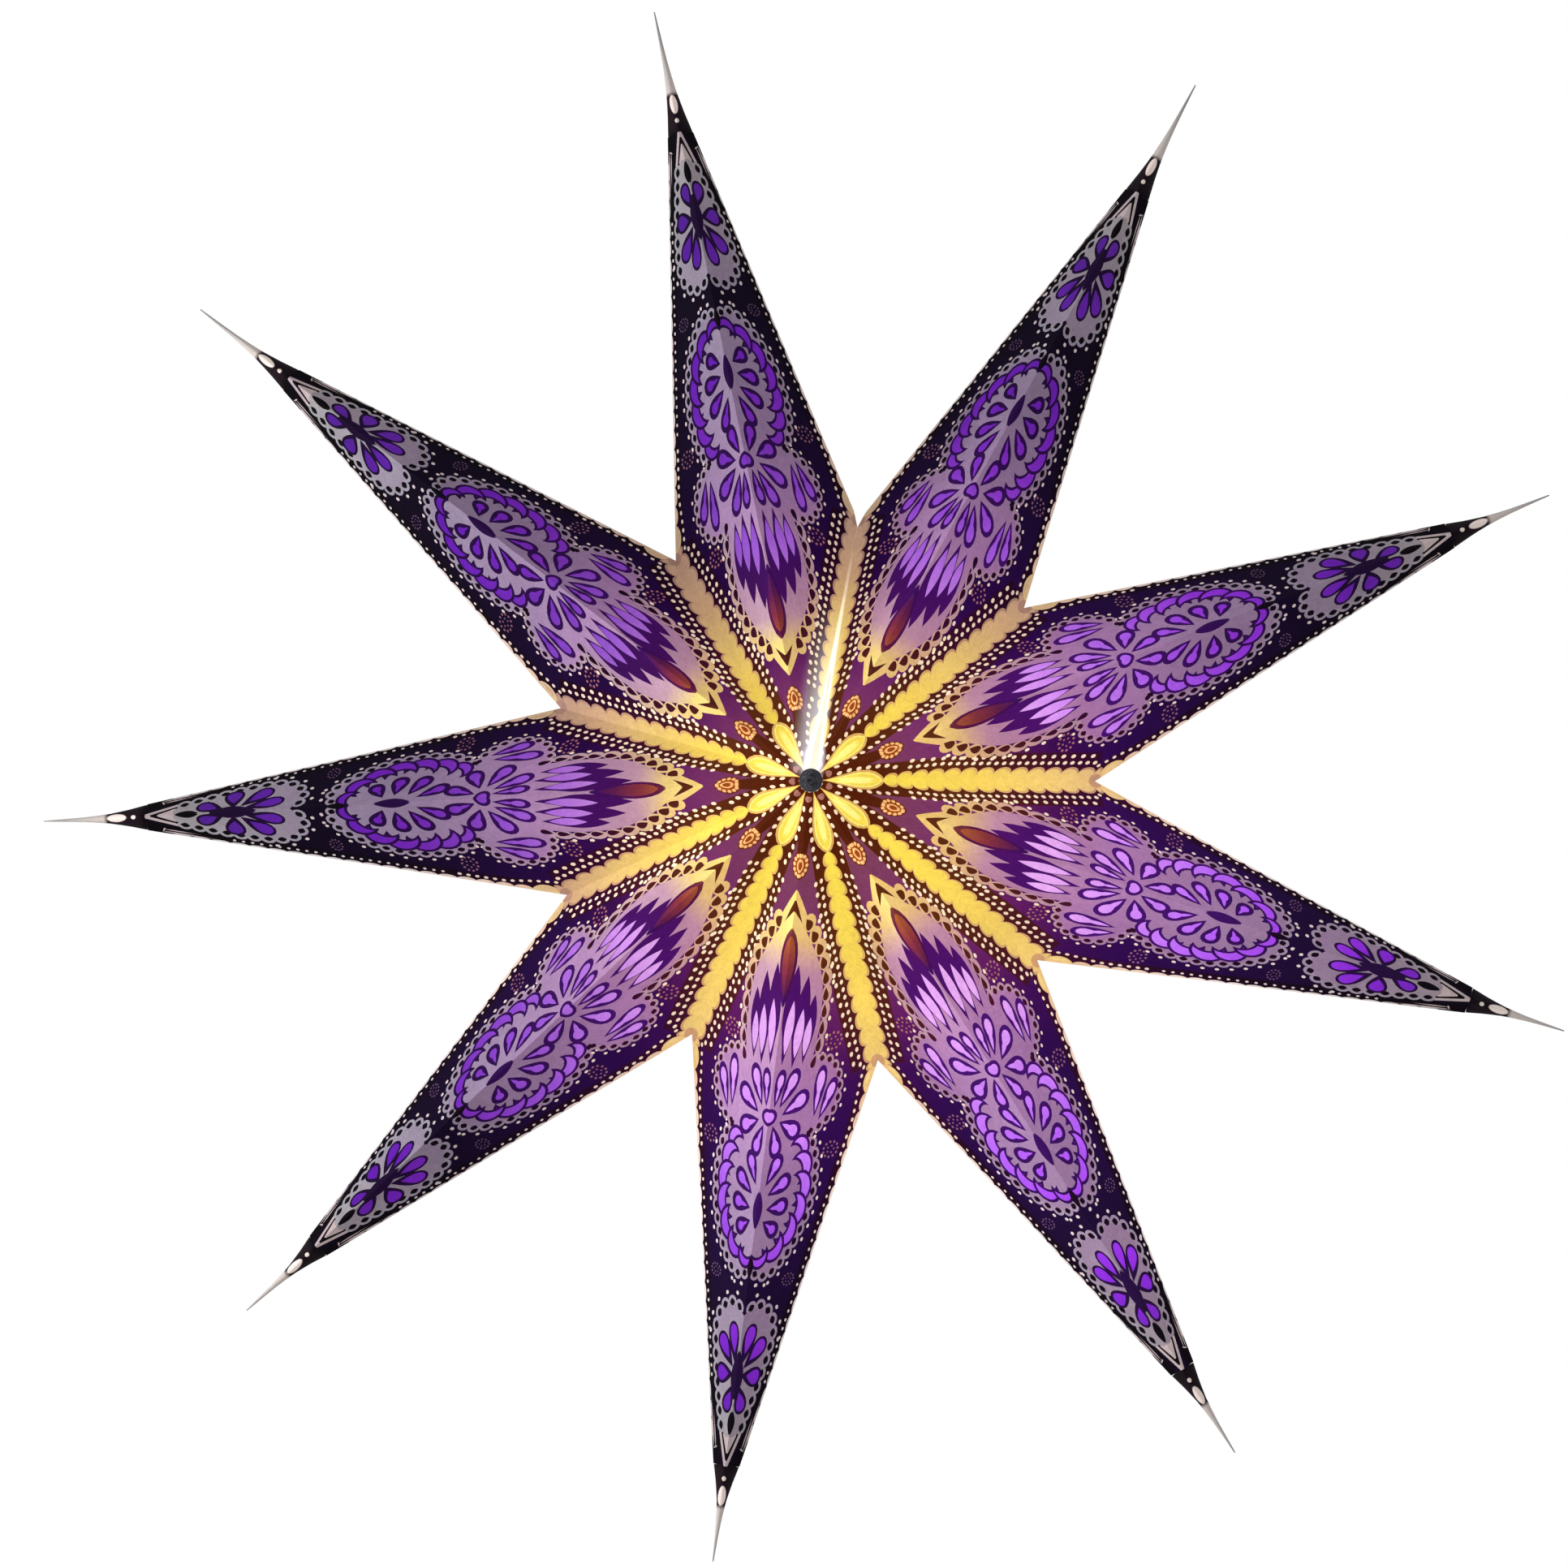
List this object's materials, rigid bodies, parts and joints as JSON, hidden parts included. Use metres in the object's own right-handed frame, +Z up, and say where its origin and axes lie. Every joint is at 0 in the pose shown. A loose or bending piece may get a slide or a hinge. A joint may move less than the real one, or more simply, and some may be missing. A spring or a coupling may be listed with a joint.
{
  "type": "paper star lantern",
  "caption": "Folded paper star lantern: pointed creased pyramids with rolled tips, an open seam held by thread ties, and a lamp holder with a globe lamp hung inside.",
  "frame": {"origin": "cord inlet: centre of the top of the lamp holder's cord grip, on the star's middle plane", "axes": "+Z up along the lamp holder to the open seam, -Y out of the star's front, +X to the viewer's right"},
  "size_m": [0.591, 0.1614, 0.582],
  "materials": {
    "printed_paper": "printed, matte, translucent",
    "plain_paper": "matte",
    "black_thread": "wound cotton thread",
    "holder_plastic": "satin",
    "contact_block": "unglazed",
    "brass": "bright",
    "lamp_metal": "bright nickel",
    "lamp_neck": "satin",
    "opal_globe": "opal, satin"
  },
  "bodies": {
    "star_carrier": {"holder_shell": "holder_plastic", "holder_cap": "holder_plastic", "cord_grip": "holder_plastic", "contact_block": "contact_block", "centre_contact": "brass", "socket_sleeve": "brass", "closing_tie": "black_thread", "hub_tie_front": "black_thread", "rolled_tip_5": "plain_paper"},
    "lamp": {"lamp_cap": "lamp_metal", "lamp_neck": "lamp_neck", "lamp_globe": "opal_globe"},
    "front_facet_5_cw": {"front_facet_5_cw": "printed_paper"},
    "front_facet_5_ccw": {"front_facet_5_ccw": "printed_paper"},
    "back_facet_5_cw": {"back_facet_5_cw": "printed_paper"},
    "back_facet_5_ccw": {"back_facet_5_ccw": "printed_paper", "hub_tie_back": "black_thread"},
    "front_facet_6_ccw": {"front_facet_6_ccw": "printed_paper"},
    "front_facet_6_cw": {"front_facet_6_cw": "printed_paper"},
    "back_facet_6_ccw": {"back_facet_6_ccw": "printed_paper"},
    "back_facet_6_cw": {"back_facet_6_cw": "printed_paper"},
    "rolled_tip_6": {"rolled_tip_6": "plain_paper"},
    "front_facet_4_cw": {"front_facet_4_cw": "printed_paper"},
    "front_facet_4_ccw": {"front_facet_4_ccw": "printed_paper"},
    "back_facet_4_cw": {"back_facet_4_cw": "printed_paper"},
    "back_facet_4_ccw": {"back_facet_4_ccw": "printed_paper"},
    "rolled_tip_4": {"rolled_tip_4": "plain_paper"},
    "front_facet_7_ccw": {"front_facet_7_ccw": "printed_paper"},
    "front_facet_7_cw": {"front_facet_7_cw": "printed_paper"},
    "back_facet_7_ccw": {"back_facet_7_ccw": "printed_paper"},
    "back_facet_7_cw": {"back_facet_7_cw": "printed_paper"},
    "rolled_tip_7": {"rolled_tip_7": "plain_paper"},
    "front_facet_3_cw": {"front_facet_3_cw": "printed_paper"},
    "front_facet_3_ccw": {"front_facet_3_ccw": "printed_paper"},
    "back_facet_3_cw": {"back_facet_3_cw": "printed_paper"},
    "back_facet_3_ccw": {"back_facet_3_ccw": "printed_paper"},
    "rolled_tip_3": {"rolled_tip_3": "plain_paper"},
    "front_facet_8_ccw": {"front_facet_8_ccw": "printed_paper"},
    "front_facet_8_cw": {"front_facet_8_cw": "printed_paper"},
    "back_facet_8_ccw": {"back_facet_8_ccw": "printed_paper"},
    "back_facet_8_cw": {"back_facet_8_cw": "printed_paper"},
    "rolled_tip_8": {"rolled_tip_8": "plain_paper"},
    "front_facet_2_cw": {"front_facet_2_cw": "printed_paper"},
    "front_facet_2_ccw": {"front_facet_2_ccw": "printed_paper"},
    "back_facet_2_cw": {"back_facet_2_cw": "printed_paper"},
    "back_facet_2_ccw": {"back_facet_2_ccw": "printed_paper"},
    "rolled_tip_2": {"rolled_tip_2": "plain_paper"},
    "front_facet_9_ccw": {"front_facet_9_ccw": "printed_paper"},
    "front_facet_9_cw": {"front_facet_9_cw": "printed_paper"},
    "back_facet_9_ccw": {"back_facet_9_ccw": "printed_paper"},
    "back_facet_9_cw": {"back_facet_9_cw": "printed_paper"},
    "rolled_tip_9": {"rolled_tip_9": "plain_paper"},
    "front_facet_1_cw": {"front_facet_1_cw": "printed_paper"},
    "front_facet_1_ccw": {"front_facet_1_ccw": "printed_paper"},
    "back_facet_1_cw": {"back_facet_1_cw": "printed_paper"},
    "back_facet_1_ccw": {"back_facet_1_ccw": "printed_paper"},
    "rolled_tip_1": {"rolled_tip_1": "plain_paper"}
  },
  "joints": [
    {"name": "lamp_unscrew", "type": "slide", "parent": "star_carrier", "child": "lamp", "axis": [0, 0, -1], "range_m": [0, 0.024]},
    {"name": "star_fold", "type": "hinge", "parent": "star_carrier", "child": "front_facet_5_cw", "pos_m": [0, -0.08, -0.09829], "axis": [0, 0.2703, -0.9628], "range_deg": [0, 28]},
    {"name": "ridge_crease_front_5_ccw", "type": "hinge", "parent": "star_carrier", "child": "front_facet_5_ccw", "pos_m": [0, -0.08, -0.09829], "axis": [0, -0.2703, 0.9628], "range_deg": [0, 28.5]},
    {"name": "edge_crease_back_5_cw", "type": "hinge", "parent": "front_facet_5_cw", "child": "back_facet_5_cw", "pos_m": [-0.03578, 0, -0.19658], "axis": [-0.1882, 0, 0.9821], "range_deg": [0, 55.1]},
    {"name": "edge_crease_back_5_ccw", "type": "hinge", "parent": "front_facet_5_ccw", "child": "back_facet_5_ccw", "pos_m": [0.03578, 0, -0.19658], "axis": [-0.1882, 0, -0.9821], "range_deg": [0, 55.1]},
    {"name": "valley_crease_front_6_ccw", "type": "hinge", "parent": "front_facet_5_cw", "child": "front_facet_6_ccw", "pos_m": [-0.00009, -0.08034, -0.09853], "axis": [0.2717, -0.6075, 0.7464], "range_deg": [0, 70.78]},
    {"name": "ridge_crease_front_6_cw", "type": "hinge", "parent": "front_facet_6_ccw", "child": "front_facet_6_cw", "pos_m": [0, -0.08, -0.09829], "axis": [-0.6189, 0.2703, -0.7375], "range_deg": [0, 56.5]},
    {"name": "edge_crease_back_6_ccw", "type": "hinge", "parent": "front_facet_6_ccw", "child": "back_facet_6_ccw", "pos_m": [-0.03578, 0, -0.19658], "axis": [-0.7755, 0, -0.6314], "range_deg": [0, 55.1]},
    {"name": "edge_crease_back_6_cw", "type": "hinge", "parent": "front_facet_6_cw", "child": "back_facet_6_cw", "pos_m": [-0.09059, 0, -0.15059], "axis": [0.4871, 0, 0.8733], "range_deg": [0, 55.1]},
    {"name": "tip_crease_6", "type": "hinge", "parent": "front_facet_6_ccw", "child": "rolled_tip_6", "pos_m": [0, -0.08, -0.09829], "axis": [-0.6189, 0.2703, -0.7375], "range_deg": [0, 28.5]},
    {"name": "valley_crease_front_4_cw", "type": "hinge", "parent": "front_facet_5_ccw", "child": "front_facet_4_cw", "pos_m": [0.00009, -0.08034, -0.09853], "axis": [0.2717, 0.6075, -0.7464], "range_deg": [0, 70.78]},
    {"name": "ridge_crease_front_4_ccw", "type": "hinge", "parent": "front_facet_4_cw", "child": "front_facet_4_ccw", "pos_m": [0, -0.08, -0.09829], "axis": [-0.6189, -0.2703, 0.7375], "range_deg": [0, 56.5]},
    {"name": "edge_crease_back_4_cw", "type": "hinge", "parent": "front_facet_4_cw", "child": "back_facet_4_cw", "pos_m": [0.03578, 0, -0.19658], "axis": [-0.7755, 0, 0.6314], "range_deg": [0, 55.1]},
    {"name": "edge_crease_back_4_ccw", "type": "hinge", "parent": "front_facet_4_ccw", "child": "back_facet_4_ccw", "pos_m": [0.09059, 0, -0.15059], "axis": [0.4871, 0, -0.8733], "range_deg": [0, 55.1]},
    {"name": "tip_crease_4", "type": "hinge", "parent": "front_facet_4_cw", "child": "rolled_tip_4", "pos_m": [0, -0.08, -0.09829], "axis": [-0.6189, -0.2703, 0.7375], "range_deg": [0, 28.5]},
    {"name": "valley_crease_front_7_ccw", "type": "hinge", "parent": "front_facet_6_cw", "child": "front_facet_7_ccw", "pos_m": [-0.00023, -0.08034, -0.09842], "axis": [0.6879, -0.6075, 0.3972], "range_deg": [0, 70.78]},
    {"name": "ridge_crease_front_7_cw", "type": "hinge", "parent": "front_facet_7_ccw", "child": "front_facet_7_cw", "pos_m": [0, -0.08, -0.09829], "axis": [-0.9482, 0.2703, -0.1672], "range_deg": [0, 56.5]},
    {"name": "edge_crease_back_7_ccw", "type": "hinge", "parent": "front_facet_7_ccw", "child": "back_facet_7_ccw", "pos_m": [-0.09059, 0, -0.15059], "axis": [-0.9999, 0, 0.0148], "range_deg": [0, 55.1]},
    {"name": "edge_crease_back_7_cw", "type": "hinge", "parent": "front_facet_7_cw", "child": "back_facet_7_cw", "pos_m": [-0.10301, 0, -0.08013], "axis": [0.9345, 0, 0.3559], "range_deg": [0, 55.1]},
    {"name": "tip_crease_7", "type": "hinge", "parent": "front_facet_7_ccw", "child": "rolled_tip_7", "pos_m": [0, -0.08, -0.09829], "axis": [-0.9482, 0.2703, -0.1672], "range_deg": [0, 28.5]},
    {"name": "valley_crease_front_3_cw", "type": "hinge", "parent": "front_facet_4_ccw", "child": "front_facet_3_cw", "pos_m": [0.00023, -0.08034, -0.09842], "axis": [0.6879, 0.6075, -0.3972], "range_deg": [0, 70.78]},
    {"name": "ridge_crease_front_3_ccw", "type": "hinge", "parent": "front_facet_3_cw", "child": "front_facet_3_ccw", "pos_m": [0, -0.08, -0.09829], "axis": [-0.9482, -0.2703, 0.1672], "range_deg": [0, 56.5]},
    {"name": "edge_crease_back_3_cw", "type": "hinge", "parent": "front_facet_3_cw", "child": "back_facet_3_cw", "pos_m": [0.09059, 0, -0.15059], "axis": [-0.9999, 0, -0.0148], "range_deg": [0, 55.1]},
    {"name": "edge_crease_back_3_ccw", "type": "hinge", "parent": "front_facet_3_ccw", "child": "back_facet_3_ccw", "pos_m": [0.10301, 0, -0.08013], "axis": [0.9345, 0, -0.3559], "range_deg": [0, 55.1]},
    {"name": "tip_crease_3", "type": "hinge", "parent": "front_facet_3_cw", "child": "rolled_tip_3", "pos_m": [0, -0.08, -0.09829], "axis": [-0.9482, -0.2703, 0.1672], "range_deg": [0, 28.5]},
    {"name": "valley_crease_front_8_ccw", "type": "hinge", "parent": "front_facet_7_cw", "child": "front_facet_8_ccw", "pos_m": [-0.00026, -0.08034, -0.09824], "axis": [0.7822, -0.6075, -0.1379], "range_deg": [0, 70.78]},
    {"name": "ridge_crease_front_8_cw", "type": "hinge", "parent": "front_facet_8_ccw", "child": "front_facet_8_cw", "pos_m": [0, -0.08, -0.09829], "axis": [-0.8338, 0.2703, 0.4814], "range_deg": [0, 56.5]},
    {"name": "edge_crease_back_8_ccw", "type": "hinge", "parent": "front_facet_8_ccw", "child": "back_facet_8_ccw", "pos_m": [-0.10301, 0, -0.08013], "axis": [-0.7565, 0, 0.654], "range_deg": [0, 55.1]},
    {"name": "edge_crease_back_8_cw", "type": "hinge", "parent": "front_facet_8_cw", "child": "back_facet_8_cw", "pos_m": [-0.06724, 0, -0.01816], "axis": [0.9446, 0, -0.3281], "range_deg": [0, 55.1]},
    {"name": "tip_crease_8", "type": "hinge", "parent": "front_facet_8_ccw", "child": "rolled_tip_8", "pos_m": [0, -0.08, -0.09829], "axis": [-0.8338, 0.2703, 0.4814], "range_deg": [0, 28.5]},
    {"name": "valley_crease_front_2_cw", "type": "hinge", "parent": "front_facet_3_ccw", "child": "front_facet_2_cw", "pos_m": [0.00026, -0.08034, -0.09824], "axis": [0.7822, 0.6075, 0.1379], "range_deg": [0, 70.78]},
    {"name": "ridge_crease_front_2_ccw", "type": "hinge", "parent": "front_facet_2_cw", "child": "front_facet_2_ccw", "pos_m": [0, -0.08, -0.09829], "axis": [-0.8338, -0.2703, -0.4814], "range_deg": [0, 56.5]},
    {"name": "edge_crease_back_2_cw", "type": "hinge", "parent": "front_facet_2_cw", "child": "back_facet_2_cw", "pos_m": [0.10301, 0, -0.08013], "axis": [-0.7565, 0, -0.654], "range_deg": [0, 55.1]},
    {"name": "edge_crease_back_2_ccw", "type": "hinge", "parent": "front_facet_2_ccw", "child": "back_facet_2_ccw", "pos_m": [0.06724, 0, -0.01816], "axis": [0.9446, 0, 0.3281], "range_deg": [0, 55.1]},
    {"name": "tip_crease_2", "type": "hinge", "parent": "front_facet_2_cw", "child": "rolled_tip_2", "pos_m": [0, -0.08, -0.09829], "axis": [-0.8338, -0.2703, -0.4814], "range_deg": [0, 28.5]},
    {"name": "valley_crease_front_9_ccw", "type": "hinge", "parent": "front_facet_8_cw", "child": "front_facet_9_ccw", "pos_m": [-0.00017, -0.08034, -0.09809], "axis": [0.5106, -0.6075, -0.6085], "range_deg": [0, 70.78]},
    {"name": "ridge_crease_front_9_cw", "type": "hinge", "parent": "front_facet_9_ccw", "child": "front_facet_9_cw", "pos_m": [0, -0.08, -0.09829], "axis": [-0.3293, 0.2703, 0.9047], "range_deg": [0, 56.5]},
    {"name": "edge_crease_back_9_ccw", "type": "hinge", "parent": "front_facet_9_ccw", "child": "back_facet_9_ccw", "pos_m": [-0.06724, 0, -0.01816], "axis": [-0.1591, 0, 0.9873], "range_deg": [0, 55.1]},
    {"name": "edge_crease_back_9_cw", "type": "hinge", "parent": "front_facet_9_cw", "child": "back_facet_9_cw", "pos_m": [0, 0, 0.00631], "axis": [0.5127, 0, -0.8585], "range_deg": [0, 55.1]},
    {"name": "tip_crease_9", "type": "hinge", "parent": "front_facet_9_ccw", "child": "rolled_tip_9", "pos_m": [0, -0.08, -0.09829], "axis": [-0.3293, 0.2703, 0.9047], "range_deg": [0, 28.5]},
    {"name": "valley_crease_front_1_cw", "type": "hinge", "parent": "front_facet_2_ccw", "child": "front_facet_1_cw", "pos_m": [0.00017, -0.08034, -0.09809], "axis": [0.5106, 0.6075, 0.6085], "range_deg": [0, 70.78]},
    {"name": "ridge_crease_front_1_ccw", "type": "hinge", "parent": "front_facet_1_cw", "child": "front_facet_1_ccw", "pos_m": [0, -0.08, -0.09829], "axis": [-0.3293, -0.2703, -0.9047], "range_deg": [0, 56.5]},
    {"name": "edge_crease_back_1_cw", "type": "hinge", "parent": "front_facet_1_cw", "child": "back_facet_1_cw", "pos_m": [0.06724, 0, -0.01816], "axis": [-0.1591, 0, -0.9873], "range_deg": [0, 55.1]},
    {"name": "edge_crease_back_1_ccw", "type": "hinge", "parent": "front_facet_1_ccw", "child": "back_facet_1_ccw", "pos_m": [0, 0, 0.00631], "axis": [0.5127, 0, 0.8585], "range_deg": [0, 55.1]},
    {"name": "tip_crease_1", "type": "hinge", "parent": "front_facet_1_cw", "child": "rolled_tip_1", "pos_m": [0, -0.08, -0.09829], "axis": [-0.3293, -0.2703, -0.9047], "range_deg": [0, 28.5]}
  ],
  "couplings": [
    {"joint": "ridge_crease_front_5_ccw", "follows": "star_fold", "ratio": 1},
    {"joint": "edge_crease_back_5_cw", "follows": "star_fold", "ratio": 1.95},
    {"joint": "edge_crease_back_5_ccw", "follows": "star_fold", "ratio": 1.95},
    {"joint": "valley_crease_front_6_ccw", "follows": "star_fold", "ratio": 2.51},
    {"joint": "ridge_crease_front_6_cw", "follows": "star_fold", "ratio": 2},
    {"joint": "edge_crease_back_6_ccw", "follows": "star_fold", "ratio": 1.95},
    {"joint": "edge_crease_back_6_cw", "follows": "star_fold", "ratio": 1.95},
    {"joint": "tip_crease_6", "follows": "star_fold", "ratio": 1},
    {"joint": "valley_crease_front_4_cw", "follows": "star_fold", "ratio": 2.51},
    {"joint": "ridge_crease_front_4_ccw", "follows": "star_fold", "ratio": 2},
    {"joint": "edge_crease_back_4_cw", "follows": "star_fold", "ratio": 1.95},
    {"joint": "edge_crease_back_4_ccw", "follows": "star_fold", "ratio": 1.95},
    {"joint": "tip_crease_4", "follows": "star_fold", "ratio": 1},
    {"joint": "valley_crease_front_7_ccw", "follows": "star_fold", "ratio": 2.51},
    {"joint": "ridge_crease_front_7_cw", "follows": "star_fold", "ratio": 2},
    {"joint": "edge_crease_back_7_ccw", "follows": "star_fold", "ratio": 1.95},
    {"joint": "edge_crease_back_7_cw", "follows": "star_fold", "ratio": 1.95},
    {"joint": "tip_crease_7", "follows": "star_fold", "ratio": 1},
    {"joint": "valley_crease_front_3_cw", "follows": "star_fold", "ratio": 2.51},
    {"joint": "ridge_crease_front_3_ccw", "follows": "star_fold", "ratio": 2},
    {"joint": "edge_crease_back_3_cw", "follows": "star_fold", "ratio": 1.95},
    {"joint": "edge_crease_back_3_ccw", "follows": "star_fold", "ratio": 1.95},
    {"joint": "tip_crease_3", "follows": "star_fold", "ratio": 1},
    {"joint": "valley_crease_front_8_ccw", "follows": "star_fold", "ratio": 2.51},
    {"joint": "ridge_crease_front_8_cw", "follows": "star_fold", "ratio": 2},
    {"joint": "edge_crease_back_8_ccw", "follows": "star_fold", "ratio": 1.95},
    {"joint": "edge_crease_back_8_cw", "follows": "star_fold", "ratio": 1.95},
    {"joint": "tip_crease_8", "follows": "star_fold", "ratio": 1},
    {"joint": "valley_crease_front_2_cw", "follows": "star_fold", "ratio": 2.51},
    {"joint": "ridge_crease_front_2_ccw", "follows": "star_fold", "ratio": 2},
    {"joint": "edge_crease_back_2_cw", "follows": "star_fold", "ratio": 1.95},
    {"joint": "edge_crease_back_2_ccw", "follows": "star_fold", "ratio": 1.95},
    {"joint": "tip_crease_2", "follows": "star_fold", "ratio": 1},
    {"joint": "valley_crease_front_9_ccw", "follows": "star_fold", "ratio": 2.51},
    {"joint": "ridge_crease_front_9_cw", "follows": "star_fold", "ratio": 2},
    {"joint": "edge_crease_back_9_ccw", "follows": "star_fold", "ratio": 1.95},
    {"joint": "edge_crease_back_9_cw", "follows": "star_fold", "ratio": 1.95},
    {"joint": "tip_crease_9", "follows": "star_fold", "ratio": 1},
    {"joint": "valley_crease_front_1_cw", "follows": "star_fold", "ratio": 2.51},
    {"joint": "ridge_crease_front_1_ccw", "follows": "star_fold", "ratio": 2},
    {"joint": "edge_crease_back_1_cw", "follows": "star_fold", "ratio": 1.95},
    {"joint": "edge_crease_back_1_ccw", "follows": "star_fold", "ratio": 1.95},
    {"joint": "tip_crease_1", "follows": "star_fold", "ratio": 1}
  ]
}
